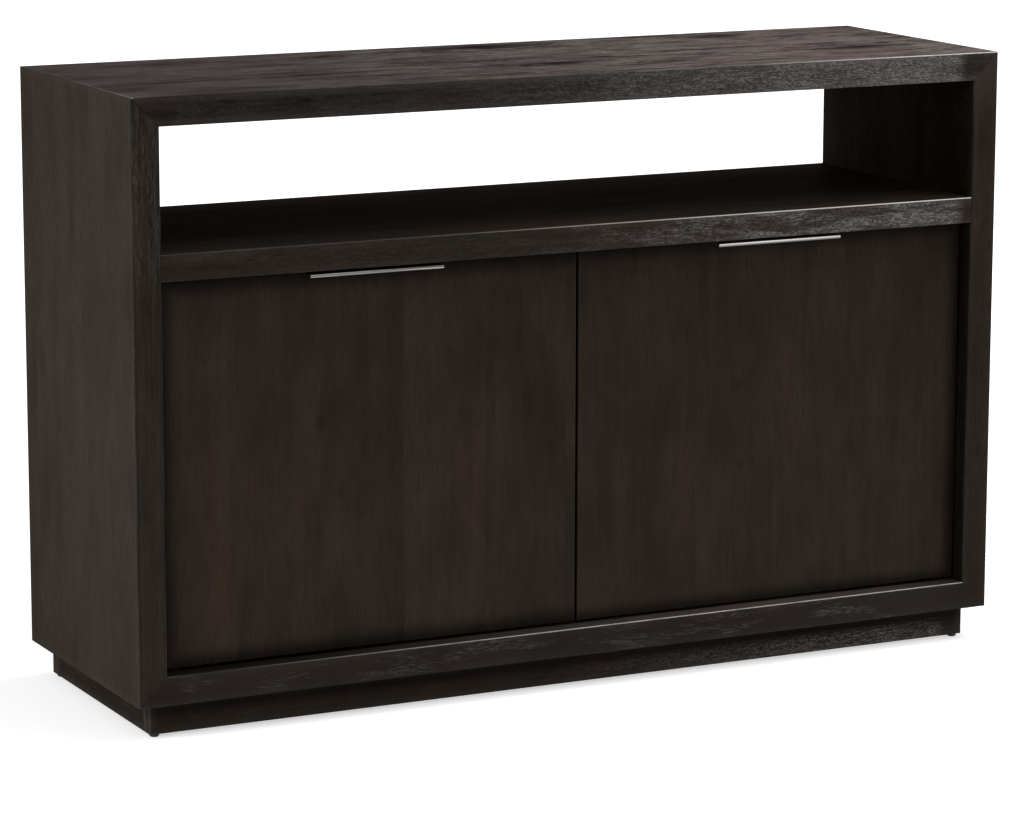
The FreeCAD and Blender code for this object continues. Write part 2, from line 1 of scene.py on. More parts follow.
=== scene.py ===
import json
import math
import bpy
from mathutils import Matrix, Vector


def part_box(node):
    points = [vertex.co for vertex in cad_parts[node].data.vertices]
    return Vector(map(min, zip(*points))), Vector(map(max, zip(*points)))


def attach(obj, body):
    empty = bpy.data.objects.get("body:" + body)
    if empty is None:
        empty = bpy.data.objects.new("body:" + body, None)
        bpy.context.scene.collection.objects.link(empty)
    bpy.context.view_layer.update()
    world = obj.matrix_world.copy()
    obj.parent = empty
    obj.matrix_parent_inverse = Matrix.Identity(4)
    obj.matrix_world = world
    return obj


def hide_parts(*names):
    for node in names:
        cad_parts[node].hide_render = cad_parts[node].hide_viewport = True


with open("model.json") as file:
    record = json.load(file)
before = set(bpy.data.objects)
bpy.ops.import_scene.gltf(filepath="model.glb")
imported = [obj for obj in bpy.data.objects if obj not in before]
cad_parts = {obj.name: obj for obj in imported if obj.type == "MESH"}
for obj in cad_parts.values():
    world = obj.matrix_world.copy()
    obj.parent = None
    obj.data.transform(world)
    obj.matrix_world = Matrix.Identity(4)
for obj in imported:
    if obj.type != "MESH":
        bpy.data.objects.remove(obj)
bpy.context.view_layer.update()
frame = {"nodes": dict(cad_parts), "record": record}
nodes = frame["nodes"]
print("frame loaded:", len(nodes), "nodes")

# Noise by name: changes per metre along the grain (None where the board says) and across it, detail,
# roughness and warp
fibreWidth = 0.0012
pattern = {
    "wander": (1.5, 6, 2, 0.5, 0.0),
    "feather": (12, 110, 3, 0.6, 0.0),
    "figure": (None, 40, 4, 0.6, 0.4),
    "streak": (9, 230, 3, 0.55, 0.0),
    "blotch": (None, 13, 4, 0.6, 0.0),
    "drift": (3.5, 17, 3, 0.6, 0.0),
    "mottle": (22, 95, 5, 0.68, 0.25),
    "pore": (None, 1 / fibreWidth, 2, 0.6, 0.0),
    "crumb": (44, 200, 4, 0.65, 0.0),
    "fleck": (None, 820, 3, 0.7, 0.0),
    "curl": (45, 560, 3, 0.6, 0.4),
    "patch": (8, 45, 4, 0.65, 0.0),
    "ragged": (70, 70, 4, 0.65, 0.0),
    "sparse": (6, 6, 3, 0.5, 0.0),
    "broken": (45, 300, 4, 0.7, 0.0),
    "brushed": (9, 800, 4, 0.7, 0.0),
    "smudge": (30, 60, 3, 0.5, 0.0),
    "plating": (160, 160, 4, 0.6, 0.0),
    "moulding": (120, 120, 3, 0.5, 0.0),
    "grit": (2600, 2600, 2, 0.6, 0.0),
}


class Wire:
    # an output socket; sums on it add Math nodes
    def __init__(self, paint, socket):
        self.paint = paint
        self.socket = socket

    def __add__(self, other):
        return self.paint.maths("ADD", self, other)

    def __radd__(self, other):
        return self.paint.maths("ADD", other, self)

    def __sub__(self, other):
        return self.paint.maths("SUBTRACT", self, other)

    def __rsub__(self, other):
        return self.paint.maths("SUBTRACT", other, self)

    def __mul__(self, other):
        return self.paint.maths("MULTIPLY", self, other)

    def __rmul__(self, other):
        return self.paint.maths("MULTIPLY", other, self)

    def __truediv__(self, other):
        return self.paint.maths("DIVIDE", self, other)

    def __rtruediv__(self, other):
        return self.paint.maths("DIVIDE", other, self)

    def __abs__(self):
        return self.paint.maths("ABSOLUTE", self)

    def least(self, other):
        return self.paint.maths("MINIMUM", self, other)

    def most(self, other):
        return self.paint.maths("MAXIMUM", self, other)


class Paint:
    # the node tree of one material, or of the world
    def __init__(self, owner):
        owner.use_nodes = True
        self.tree = owner.node_tree
        self.tree.nodes.clear()

    def add(self, kind, settings=None, inputs=None, out=0):
        made = self.tree.nodes.new(kind)
        for key, value in (settings or {}).items():
            if key == "stops":
                ramp = made.color_ramp
                while len(ramp.elements) < len(value):
                    ramp.elements.new(1)
                for stop, (place, colour) in zip(ramp.elements, value):
                    stop.position = place
                    stop.color = (*colour, 1)
            else:
                setattr(made, key, value)
        for key, value in (inputs or {}).items():
            if isinstance(value, Wire):
                self.tree.links.new(value.socket, made.inputs[key])
            else:
                made.inputs[key].default_value = value
        if isinstance(out, tuple):
            return [Wire(self, made.outputs[name]) for name in out]
        if not made.outputs:
            return made
        return Wire(self, made.outputs[out])

    def maths(self, operation, first, second=0.0):
        return self.add("ShaderNodeMath", {"operation": operation}, {0: first, 1: second})

    def blend(self, share, first, second, mode="MIX"):
        colours = [c if isinstance(c, Wire) else (*c, 1) for c in (first, second)]
        return self.add("ShaderNodeMix", {"data_type": "RGBA", "blend_type": mode},
                        {0: share, 6: colours[0], 7: colours[1]}, out=2)

    def between(self, value, low, high, start=0.0, end=1.0):
        return self.add("ShaderNodeMapRange", {"interpolation_type": "SMOOTHSTEP"},
                        {"Value": value, "From Min": low, "From Max": high, "To Min": start, "To Max": end})

    def noise(self, name, vector, run=None):
        along, across, detail, rough, warp = pattern[name]
        scaled = self.add("ShaderNodeVectorMath", {"operation": "MULTIPLY"},
                          {0: vector, 1: (run or along, across, across)})
        return self.add("ShaderNodeTexNoise", None, {"Vector": scaled, "Scale": 1.0, "Detail": detail,
                                                     "Roughness": rough, "Distortion": warp})

    def relief(self, height, strength, depth):
        return self.add("ShaderNodeBump", None, {"Height": height, "Strength": strength, "Distance": depth})

    def surface(self, inputs):
        return self.add("ShaderNodeBsdfPrincipled", None, inputs)

    def show(self, shader):
        self.add("ShaderNodeOutputMaterial", None, {"Surface": shader})

    def seen(self):
        rays = self.add("ShaderNodeLightPath", out=("Is Camera Ray", "Is Glossy Ray", "Is Transmission Ray"))
        return rays[0].most(rays[1]).most(rays[2])


def dress(names, material):
    for name in names:
        slots = nodes[name].data.materials
        slots.clear()
        slots.append(material)


# Stained open-pored wood: grain along one axis, glued staves, pale filler in the pores, rubbed arrises that
# partly carry a painted highlight, and painted light and shade by place
stain = {
    "olive": (0.0205, 0.0155, 0.0113),
    "russet": (0.0232, 0.0156, 0.0116),
    "black": (0.0035, 0.0028, 0.0022),
    "lime": (0.220, 0.205, 0.195),
    "bareAndHighlit": (0.600, 0.570, 0.540),
    "dust": (0.105, 0.096, 0.091),
    "depth": 1.0,
    "leastTone": 0.2,
    "fade": (1.0, 1.0),
    "fadeSpan": (-0.60, 0.55),
    "fadeReach": 1.0,
    "fadeHold": 0.6,
    "paintedLightByHeight": (1.0, 1.0),
    "climbSpan": (0.0, 1.0),
    "recede": (1.0, 1.0),
    "nookShade": (1.0, 1.0),
    "recess": 0.0,
    "grain": "x",
    "staves": "y",
    "staveWidth": 0.120,
    "staveTone": 0.10,
    "staveSlide": (2.3, 0.4),
    "seed": 0.0,
    "seedStep": 3.1,
    "sway": 0.05,
    "figure": 0.8,
    "figureRun": 2.2,
    "streaks": 0.35,
    "blotches": 0.9,
    "blotchRun": 6.0,
    "bands": 0.0,
    "mottle": 0.0,
    "lively": (1.0, 1.0),
    "livelyEnd": 0.3,
    "edges": 1.0,
    "hue": (0.40, 0.62),
    "dashes": 0.10,
    "dashLength": 0.024,
    "flecks": 0.0,
    "pores": 0.5,
    "lip": 0.0,
    "lipDepth": 1.0,
    "lipPale": (0.2, 1.0),
    "lipSpan": (-0.14, 0.686),
    "lipClimb": (1.0, 1.0),
    "lipEnds": 0.12,
    "lipStreaks": 0.0,
    "lipEdge": 0.0,
    "lipClean": 0.7,
    "fleckRun": 190,
    "fleckShare": 0.65,
    "patches": (0.28, 0.56, 0.45),
    "haze": 0.0,
    "sanded": 0.05,
    "sandedRagged": 0.006,
    "wearAndHighlight": 0.25,
    "wearWidth": 0.0022,
    "wearRagged": 1.6,
    "crestHighlight": 0.0,
    "crestAlong": (1.0, 1.0),
    "crestSpan": (-0.40, 0.40),
    "crestEnd": 0.0,
    "crestEndStop": 0.1,
    "crestGaps": 0.0,
    "shaded": 0.0,
    "shadeWidth": 0.020,
    "gapShadeTone": 0.2,
    "seam": None,
    "knots": (),
    "knotEdge": (0.2, 1.2),
    "knotFeather": 0.9,
    "knotReach": 4.0,
    "knotPush": 0.6,
    "rough": 0.50,
    "streakRough": 0.25,
    "paleRough": 0.3,
    "rubbedSmooth": 0.1,
    "gloss": 0.04,
    "relief": 0.35,
    "reliefDepth": 0.0004,
    "poreHeight": 0.6,
}
# Where on its noise each kind of mark starts and is full
level = {
    "band": (0.36, 0.50),
    "dusty": (0.46, 0.66),
    "clouded": (0.36, 0.60),
    "empty": (0.30, 0.46),
    "filled": (0.54, 0.72),
    "crumb": (0.54, 0.62),
    "fleck": (0.49, 0.56),
    "sparse": (0.34, 0.62),
    "broken": (0.36, 0.54),
}
# Where faces and edges start and end, in metres
margin = {
    "lip": (0.0012, 0.0030),
    "above": (0.003, 0.001),
    "lipEdge": 0.009,
    "lipEnd": (0.075, 0.050),
    "innerFace": (0.001, 0.003),
    "recess": 0.2,
    "doorGapShade": (0.0003, 0.0010),
    "crestHighlight": (0.004, 0.001),
    "crestLine": (0.0006, 0.0018),
    "crestFace": (0.002, 0.005),
    "sanded": (0.001, 0.014),
    "seam": (0.0003, 0.0016),
}
grainTurn = {"x": (0, 0, 0), "y": (0, 0, -math.pi / 2), "z": (0, math.pi / 2, 0)}
caseLow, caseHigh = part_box("left_side_panel")
caseFront = caseLow.y
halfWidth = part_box("top_panel")[1].x
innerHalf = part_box("right_side_panel")[0].x
nookShadeSpan = (0.48, innerHalf)
doorFront, doorBack = (corner.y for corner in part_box("right_door_panel"))
mitreSeam = (0.15, 0.45)


def stainedWood(node, look):
    look = {**stain, **look}
    low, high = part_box(node)
    middle = (low + high) / 2
    material = bpy.data.materials.new(node + "Wood")
    paint = Paint(material)
    spot = paint.add("ShaderNodeTexCoord", out="Object")
    axes = dict(zip("xyz", paint.add("ShaderNodeSeparateXYZ", None, {0: spot}, out=("X", "Y", "Z"))))

    # each stave has its own tone and its own stretch of the log
    seed = look["seed"]
    lane = paint.maths("FLOOR", (axes[look["staves"]] + seed) / look["staveWidth"])
    laneTone = paint.add("ShaderNodeTexWhiteNoise", {"noise_dimensions": "1D"}, {"W": lane + seed})
    start = (seed * look["seedStep"], seed, -seed)
    board = paint.add("ShaderNodeMapping", None,
                      {"Vector": spot, "Rotation": grainTurn[look["grain"]], "Location": start})
    slideAlong, slideAcross = look["staveSlide"]
    slide = paint.add("ShaderNodeCombineXYZ", None, {"X": laneTone * slideAlong, "Y": laneTone * slideAcross})
    board = paint.add("ShaderNodeVectorMath", {"operation": "ADD"}, {0: board, 1: slide})

    # grain parts round a knot, and its dark stain runs out along the grain
    part = (paint.noise("wander", board) - 0.5) * look["sway"]
    feather = (paint.noise("feather", board) - 0.5) * look["knotFeather"]
    knotDark = None
    for along, across, radius, drawn, share in look["knots"]:
        dx = (axes[look["grain"]] - along) / (radius * drawn)
        dy = (axes[look["staves"]] - across) / radius
        far = paint.maths("SQRT", dx * dx + dy * dy)
        dark = (1 - paint.between(far + feather, *look["knotEdge"])) * share
        part = part - dy * (1 - paint.between(far, 0.0, look["knotReach"])) * radius * look["knotPush"]
        knotDark = dark if knotDark is None else knotDark.most(dark)
    sway = paint.add("ShaderNodeCombineXYZ", None, {"Y": part, "Z": part})
    board = paint.add("ShaderNodeVectorMath", {"operation": "ADD"}, {0: board, 1: sway})

    # figure, streaks and blotches set the tone; the back, the ends and the underside may be calmer
    figure = paint.noise("figure", board, look["figureRun"])
    streak = paint.noise("streak", board)
    blotch = paint.noise("blotch", board, look["blotchRun"])
    lip = paint.between(axes["y"], *(low.y + step for step in margin["lip"]), 1.0, 0.0)
    above = paint.between(axes["z"], *(high.z - step for step in margin["above"]))
    calm = 1 - (1 - above.most(lip)) * (1 - look["edges"])
    tone = (1 + ((figure - 0.5) * look["figure"] + (streak - 0.5) * look["streaks"]
                 + (blotch - 0.5) * look["blotches"]) * calm + (laneTone - 0.5) * look["staveTone"])
    lively = paint.between(axes["x"], -halfWidth, halfWidth * look["livelyEnd"], *look["lively"])
    lively = lively * (1 - lip) * above
    if look["bands"]:
        tone = tone * (1 - paint.between(figure, *level["band"], look["bands"], 0.0) * lively)
    if look["mottle"]:
        mottle = paint.noise("mottle", board)
        tone = tone + (mottle - 0.5) * lively * look["mottle"] * 2
    rise = (axes["z"] - low.z) / (high.z - low.z)
    lipRise = paint.between(rise, *look["climbSpan"], *look["lipClimb"])
    tone = tone + (streak - 0.5) * lip * lipRise * look["lipStreaks"]
    if look["lipEdge"]:
        fromEdge = paint.maths("SUBTRACT", high.x - middle.x, abs(axes["x"] - middle.x))
        tone = tone * (1 - lip * paint.between(fromEdge, 0.0, margin["lipEdge"], look["lipEdge"], 0.0))

    # tone by place: painted light over the height, towards the back, then painted shade in the nook, in the
    # recess before the doors and at the doors' edges
    # painted light: lighter towards the bottom where the floor bounces light; on the plinth, painted shade at
    # the top under the case's overhang
    tone = tone * paint.between(rise, *look["climbSpan"], *look["paintedLightByHeight"])
    tone = tone * paint.between(axes["y"], low.y, high.y, *look["recede"])
    # painted shade in the nook at the right end, where the right side shades the ledge
    tone = tone * (1 + (paint.between(axes["x"], *nookShadeSpan, *look["nookShade"]) - 1) * (1 - lip))
    # painted shade on the inner face of the right side, in the recess before the doors
    if look["recess"]:
        innerFaceShade = paint.between(abs(axes["x"]) - innerHalf, *margin["innerFace"], look["recess"], 0.0)
        near = paint.between(axes["y"], doorFront, doorBack + margin["recess"], 1.0, 0.0)
        tone = tone * (1 - innerFaceShade * near)
    # painted shade: darker along the doors' outer, top and bottom edges under the frame's overhang, and on
    # the door edges in the gap between them
    if look["shaded"]:
        fromEdge = (paint.maths("SUBTRACT", max(-low.x, high.x), abs(axes["x"]))
                    .least(high.z - axes["z"]).least(axes["z"] - low.z))
        fromGap = abs(axes["x"]) - min(abs(low.x), abs(high.x))
        tone = tone * (1 - paint.between(fromEdge, 0.0, look["shadeWidth"], look["shaded"], 0.0))
        tone = tone * paint.between(fromGap, *margin["doorGapShade"], look["gapShadeTone"], 1.0)
    # tone along the width; on the bottom panel it reaches only the recessed ledge before the doors, where its
    # darkening is partly painted shade
    fade = paint.between(axes["x"], *look["fadeSpan"], *look["fade"]) - 1
    fade = fade * paint.between(axes["y"], caseFront + look["fadeReach"] * look["fadeHold"],
                                caseFront + look["fadeReach"], 1.0, 0.0)
    depth = look["depth"] * calm * (1 + fade) * (1 - lip) + lip * look["lipDepth"]

    # a slower drift sets the hue
    hue = paint.between(paint.noise("drift", board), *look["hue"])
    colour = paint.blend(hue, look["olive"], look["russet"])
    colour = paint.add("ShaderNodeVectorMath", {"operation": "SCALE"},
                       {0: colour, "Scale": tone.most(look["leastTone"]) * depth})
    clouded = paint.between(blotch, *level["clouded"])
    if look["mottle"]:
        dusty = paint.between(mottle, *level["dusty"]) * clouded
        colour = paint.blend(dusty * lively * look["mottle"], colour, look["dust"])

    # open pores: dark where empty, pale where filler stayed in them
    pore = paint.noise("pore", board, 1 / look["dashLength"])
    empty = 1 - paint.between(pore, *level["empty"])
    colour = paint.blend(empty * look["pores"], colour, look["black"])
    filled = paint.between(pore, *level["filled"])
    pale = filled * clouded * (1 - lip * look["lipClean"]) * look["dashes"]
    if look["flecks"]:
        crumb = paint.noise("crumb", board)
        pale = pale.most(paint.between(crumb, *level["crumb"]) * lively * look["flecks"])
    if look["lip"]:
        fleck = (paint.noise("fleck", board, look["fleckRun"]) * look["fleckShare"]
                 + paint.noise("curl", board) * (1 - look["fleckShare"]))
        patch = paint.between(paint.noise("patch", board), *look["patches"], 1.0)
        span = paint.between(axes["x"], *look["lipSpan"], *look["lipPale"])
        ends = paint.between(abs(axes["x"]), *(halfWidth - step for step in margin["lipEnd"]),
                             1.0, look["lipEnds"])
        marked = lip * lipRise * patch * span * ends
        colour = paint.blend(marked * look["haze"], colour, look["dust"])
        pale = pale.most(paint.between(fleck, *level["fleck"]) * marked * look["lip"])
    colour = paint.blend(pale, colour, look["lime"])
    if knotDark is not None:
        colour = paint.blend(knotDark, colour, look["black"])

    # rubbed arrises, pale as wear and partly as a painted highlight: the second nearest face of the board's
    # box is close by
    gaps = [paint.maths("SUBTRACT", high[i] - middle[i], abs(axes[axis] - middle[i]))
            for i, axis in enumerate("xyz")]
    edge = gaps[0].least(gaps[1]).most(gaps[0].most(gaps[1]).least(gaps[2]))
    ragged = paint.noise("ragged", spot) - 0.5
    sparse = paint.between(paint.noise("sparse", spot), *level["sparse"])
    worn = edge + ragged * look["wearWidth"] * look["wearRagged"]
    rubbedAndHighlit = paint.between(worn, 0.0, look["wearWidth"], 1.0, 0.0) * sparse * look["wearAndHighlight"]
    sanded = paint.between(edge + ragged * look["sandedRagged"], *margin["sanded"], look["sanded"], 0.0)
    colour = paint.blend(rubbedAndHighlit.most(sanded), colour, look["lime"])
    if look["crestHighlight"]:
        # the upper arris painted pale, partly as bare wood and partly as a painted highlight: in front,
        # mostly towards the right, and at the left end
        line = (paint.between(axes["z"], *(high.z - step for step in margin["crestHighlight"]))
                * paint.between(edge, *margin["crestLine"], 1.0, 0.0))
        inFront = paint.between(axes["y"], *(caseFront + step for step in margin["crestFace"]), 1.0, 0.0)
        along = paint.between(axes["x"], *look["crestSpan"], *look["crestAlong"])
        whole = paint.between(paint.noise("broken", spot), *level["broken"], 1 - look["crestGaps"], 1.0)
        atEnd = paint.between(axes["x"], *(step - halfWidth for step in margin["crestFace"]),
                              look["crestEnd"], 0.0)
        atEnd = atEnd * paint.between(axes["y"], caseFront, look["crestEndStop"], 1.0, 0.0)
        crestHighlight = line * (inFront * along * whole * look["crestHighlight"]).most(atEnd)
        colour = paint.blend(crestHighlight, colour, look["bareAndHighlit"])
    if look["seam"]:
        fromCorner = (caseHigh.z - axes["z"]).least(axes["z"] - caseLow.z)
        seam = paint.between(abs(halfWidth - abs(axes["x"]) - fromCorner), *margin["seam"], 1.0, 0.0)
        seam = seam * paint.between(axes["z"], caseLow.z, caseHigh.z, *look["seam"])
        colour = paint.blend(seam, colour, look["black"])

    rough = (look["rough"] + (streak - 0.5) * look["streakRough"] + pale * look["paleRough"]
             - rubbedAndHighlit * look["rubbedSmooth"])
    height = pore * look["poreHeight"] + streak * (1 - look["poreHeight"])
    paint.show(paint.surface({
        "Base Color": colour, "Roughness": rough, "Specular IOR Level": look["gloss"],
        "Normal": paint.relief(height, look["relief"], look["reliefDepth"])}))
    dress([node], material)


# top panel: the top face is painted far lighter than its front rail, partly as painted sheen; its pale crest
# is partly a painted highlight
topPanel = {
    "seed": 0.37, "depth": 2.25, "fade": (0.66, 1.28), "figure": 1.6, "figureRun": 3.4, "streaks": 1.6,
    "blotches": 1.4, "bands": 0.85, "mottle": 0.85, "dashes": 0.3, "dashLength": 0.030, "flecks": 0.28,
    "hue": (0.30, 0.55), "olive": (0.0200, 0.0158, 0.0128), "russet": (0.0240, 0.0179, 0.0166),
    "lively": (0.12, 1.0), "edges": 0.5, "gloss": 0.0004, "lip": 0.66, "lipDepth": 0.75,
    "lipPale": (0.08, 1.0), "lipSpan": (-0.26, 0.52), "haze": 0.46, "crestHighlight": 0.9, "crestAlong": (0.0, 1.0),
    "crestSpan": (0.20, 0.64), "crestEnd": 0.4, "crestGaps": 0.3, "seam": mitreSeam, "staveWidth": 0.145,
    "knots": [(0.030, -0.080, 0.030, 2.0, 0.90), (0.530, -0.070, 0.034, 2.0, 0.75),
              (0.410, 0.160, 0.034, 2.2, 0.80), (0.020, 0.175, 0.034, 3.6, 0.90)]}
# bottom panel: the fade on the recessed ledge before the doors, darker at the left, is partly painted shade;
# the nook at the right end is painted shade
bottomPanel = {
    "seed": 1.93, "olive": (0.0200, 0.0160, 0.0132), "russet": (0.0212, 0.0160, 0.0134), "fade": (0.40, 2.4),
    "fadeSpan": (-0.62, 0.36), "fadeReach": 0.05, "nookShade": (1.0, 0.55), "figure": 0.4, "streaks": 0.15,
    "pores": 0.12, "dashes": 0.02, "lip": 0.34, "lipDepth": 1.14, "lipPale": (0.6, 1.0), "fleckRun": 70,
    "patches": (0.48, 0.68, 0.03), "crestHighlight": 0.62, "crestAlong": (0.0, 1.0), "crestSpan": (-0.62, 0.10),
    "crestGaps": 0.35, "sanded": 0.02, "wearAndHighlight": 0.12, "seam": mitreSeam, "gloss": 0.004}
# left side: painted light, lighter towards the bottom
leftSide = {
    "seed": 2.71, "russet": (0.0212, 0.0157, 0.0120), "grain": "z", "staveWidth": 0.144, "depth": 1.4,
    "lipDepth": 1.0, "paintedLightByHeight": (1.12, 1.0), "climbSpan": (0.30, 0.95), "lipClimb": (0.12, 1.0),
    "recede": (1.12, 0.88), "figure": 0.4, "streaks": 0.2, "pores": 0.25, "lip": 0.14, "lipPale": (1, 1),
    "lipEnds": 1.0, "lipStreaks": 2.2, "lipEdge": 0.40, "fleckRun": 80, "patches": (0.42, 0.62, 0.1),
    "sanded": 0.025, "wearAndHighlight": 0.15, "seam": mitreSeam, "gloss": 0.004}
# right side: painted shade on its inner face in the recess before the doors
rightSide = {
    "seed": 4.17, "grain": "z", "staveWidth": 0.144, "lip": 0.2, "lipDepth": 1.18, "lipPale": (1, 1),
    "climbSpan": (0.88, 0.97), "lipClimb": (0.0, 1.0), "haze": 1.0, "sanded": 0.02, "wearAndHighlight": 0.12,
    "recess": 0.6, "seam": (0.15, 0.15), "gloss": 0.001}
# media shelf: the pale crest on the front arris is partly a painted highlight
mediaShelf = {
    "seed": 5.03, "fade": (0.72, 1.0), "fadeSpan": (-0.60, -0.05), "lip": 0.85, "lipDepth": 0.95,
    "lipPale": (0.06, 1.0), "lipSpan": (-0.17, 0.55), "patches": (0.40, 0.58, 0.25), "haze": 0.42,
    "crestHighlight": 1.0, "crestAlong": (0.03, 1.0), "crestSpan": (-0.32, 0.55), "sanded": 0.02, "wearAndHighlight": 0.10,
    "gloss": 0.0001}
# doors: painted shade along their outer, top and bottom edges and in the gap between them
anyDoor = {
    "grain": "z", "staves": "x", "staveWidth": 0.128, "depth": 1.12, "lipDepth": 1.12, "figure": 0.55,
    "blotches": 1.05, "blotchRun": 6.5, "streaks": 0.35, "pores": 0.32, "dashes": 0.30, "dashLength": 0.034,
    "lime": (0.105, 0.076, 0.056), "shaded": 0.62, "shadeWidth": 0.024, "sanded": 0.0, "wearAndHighlight": 0.12,
    "gloss": 0.02}
# painted light on both doors, lighter towards the bottom
leftDoor = {
    **anyDoor, "seed": 6.29, "paintedLightByHeight": (1.20, 1.0), "shaded": 0.70, "shadeWidth": 0.030,
    "knots": [(0.322, -0.372, 0.009, 1.2, 0.32), (0.424, -0.401, 0.012, 1.2, 0.25)]}
rightDoor = {
    **anyDoor, "seed": 7.61, "paintedLightByHeight": (1.12, 0.88),
    "knots": [(0.305, 0.270, 0.008, 1.2, 0.32), (0.422, 0.262, 0.011, 1.2, 0.22)]}
# plinth rails: painted shade at the top under the case's overhang
plinthLong = {
    "figure": 0.5, "pores": 0.25, "dashes": 0.15, "paintedLightByHeight": (1.48, 0.74), "climbSpan": (0.30, 0.72),
    "lip": 0.60, "lipDepth": 0.68, "lipPale": (0.05, 1.0), "lipClimb": (1.0, 0.0), "haze": 0.10,
    "gloss": 0.004}
plinthShort = {"grain": "y", "staves": "z", "dashes": 0.3, "gloss": 0.004}
hiddenWood = {"dashes": 0.05, "wearAndHighlight": 0.1, "gloss": 0.01}
woods = {
    "top_panel": topPanel,
    "bottom_panel": bottomPanel,
    "left_side_panel": leftSide,
    "right_side_panel": rightSide,
    "media_shelf": mediaShelf,
    "left_door_panel": leftDoor,
    "right_door_panel": rightDoor,
    "plinth_front_rail": {**plinthLong, "seed": 8.3},
    "plinth_back_rail": {**plinthLong, "seed": 9.3},
    "plinth_left_rail": {**plinthShort, "seed": 10.7},
    "plinth_right_rail": {**plinthShort, "seed": 11.7},
    "plinth_cross_rail": {**plinthShort, "seed": 12.7},
    "plinth_corner_blocks": {**hiddenWood, "seed": 14.2, "grain": "z"},
    "corner_splines": {**hiddenWood, "seed": 15.2, "grain": "y", "staves": "z"},
    "centre_partition": {**hiddenWood, "seed": 16.2, "grain": "z"},
    "back_panel": {**hiddenWood, "seed": 17.9, "grain": "z", "staves": "x", "staveWidth": 0.21},
    "left_adjustable_shelf": {**hiddenWood, "seed": 18.4},
    "right_adjustable_shelf": {**hiddenWood, "seed": 19.4},
}
for name, look in woods.items():
    stainedWood(name, look)
print("wood stained")


# Brushed nickel pulls: fine lines along their length; the bands of tone over the height of the lip are
# painted reflections, and the left pull is painted darker than the right
anyPull = {"rough": 0.30, "lines": (0.36, 0.64), "smear": 0.1, "lineRough": 0.2, "smudgeRough": 0.15,
           "relief": 0.25, "reliefDepth": 0.0001}
# the left pull is painted dark and the right pull bright: painted shade and painted reflection on the same
# nickel
leftPull = {**anyPull, "pale": (0.40, 0.38, 0.355), "dull": (0.15, 0.142, 0.135),
            "bands": [(0.0, 0.40), (0.26, 1.0), (0.56, 0.22), (0.80, 1.0), (1.0, 0.80)]}
rightPull = {**anyPull, "pale": (0.96, 0.90, 0.85), "dull": (0.62, 0.575, 0.54),
             "bands": [(0.0, 0.10), (0.35, 0.24), (0.62, 0.60), (0.80, 1.0), (1.0, 1.0)]}


def nickelFinish(node, look):
    low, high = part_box(node)
    material = bpy.data.materials.new(node + "Nickel")
    paint = Paint(material)
    spot = paint.add("ShaderNodeTexCoord", out="Object")
    lines = paint.noise("brushed", spot)
    smudge = paint.noise("smudge", spot) - 0.5
    rise = (paint.add("ShaderNodeSeparateXYZ", None, {0: spot}, out="Z") - low.z) / (high.z - low.z)
    # painted reflections: bands of tone over the height of the lip
    stops = [(at, (tone, tone, tone)) for at, tone in look["bands"]]
    band = paint.add("ShaderNodeValToRGB", {"stops": stops}, {0: rise + smudge * look["smear"]})
    colour = paint.blend(paint.between(lines, *look["lines"]), look["dull"], look["pale"])
    rough = look["rough"] + (lines - 0.5) * look["lineRough"] + smudge * look["smudgeRough"]
    paint.show(paint.surface({
        "Base Color": paint.blend(1.0, colour, band, "MULTIPLY"), "Metallic": 1.0, "Roughness": rough,
        "Normal": paint.relief(lines, look["relief"], look["reliefDepth"])}))
    dress([node], material)


nickelFinish("left_edge_pull", leftPull)
nickelFinish("right_edge_pull", rightPull)

# Plated steel: zinc on screws, pegs and strikes, dark bronze on the hinge leaves
anyPlating = {"spangles": 420.0, "spangleShare": 0.4, "tones": (0.25, 0.75), "cloudRough": 0.3,
              "relief": 0.1, "reliefDepth": 0.0002}
zincSteel = {**anyPlating, "pale": (0.50, 0.49, 0.46), "dull": (0.33, 0.33, 0.32), "rough": 0.36}
darkBronze = {**anyPlating, "pale": (0.060, 0.052, 0.045), "dull": (0.030, 0.026, 0.023), "rough": 0.42}


def platedFinish(name, look):
    material = bpy.data.materials.new(name)
    paint = Paint(material)
    spot = paint.add("ShaderNodeTexCoord", out="Object")
    spangle = paint.add("ShaderNodeTexVoronoi", None, {"Vector": spot, "Scale": look["spangles"]},
                        out="Color")
    cloud = paint.noise("plating", spot)
    grain = paint.add("ShaderNodeSeparateColor", None, {0: spangle})
    mixed = cloud * (1 - look["spangleShare"]) + grain * look["spangleShare"]
    colour = paint.blend(paint.between(mixed, *look["tones"]), look["dull"], look["pale"])
    rough = look["rough"] + (cloud - 0.5) * look["cloudRough"]
    paint.show(paint.surface({
        "Base Color": colour, "Metallic": 1.0, "Roughness": rough,
        "Normal": paint.relief(cloud, look["relief"], look["reliefDepth"])}))
    return material


# Moulded plastics and rubber: faint mottling and a fine moulded texture
anyMoulding = {"gloss": 0.35, "gritShare": 0.3, "tones": (0.35, 0.65), "gritRough": 0.3, "relief": 0.15,
               "reliefDepth": 0.0001}
catchPlastic = {**anyMoulding, "colour": (0.030, 0.024, 0.020), "pale": (0.050, 0.042, 0.036), "rough": 0.5}
glidePlastic = {**anyMoulding, "colour": (0.012, 0.011, 0.011), "pale": (0.024, 0.022, 0.021), "rough": 0.55}
washerNylon = {**anyMoulding, "colour": (0.004, 0.004, 0.003), "pale": (0.007, 0.006, 0.006), "rough": 0.6,
               "gloss": 0.03}
bumperRubber = {**anyMoulding, "colour": (0.030, 0.029, 0.028), "pale": (0.048, 0.047, 0.045), "rough": 0.7}
magnetFerrite = {**anyMoulding, "colour": (0.020, 0.020, 0.021), "pale": (0.040, 0.040, 0.042), "rough": 0.6}


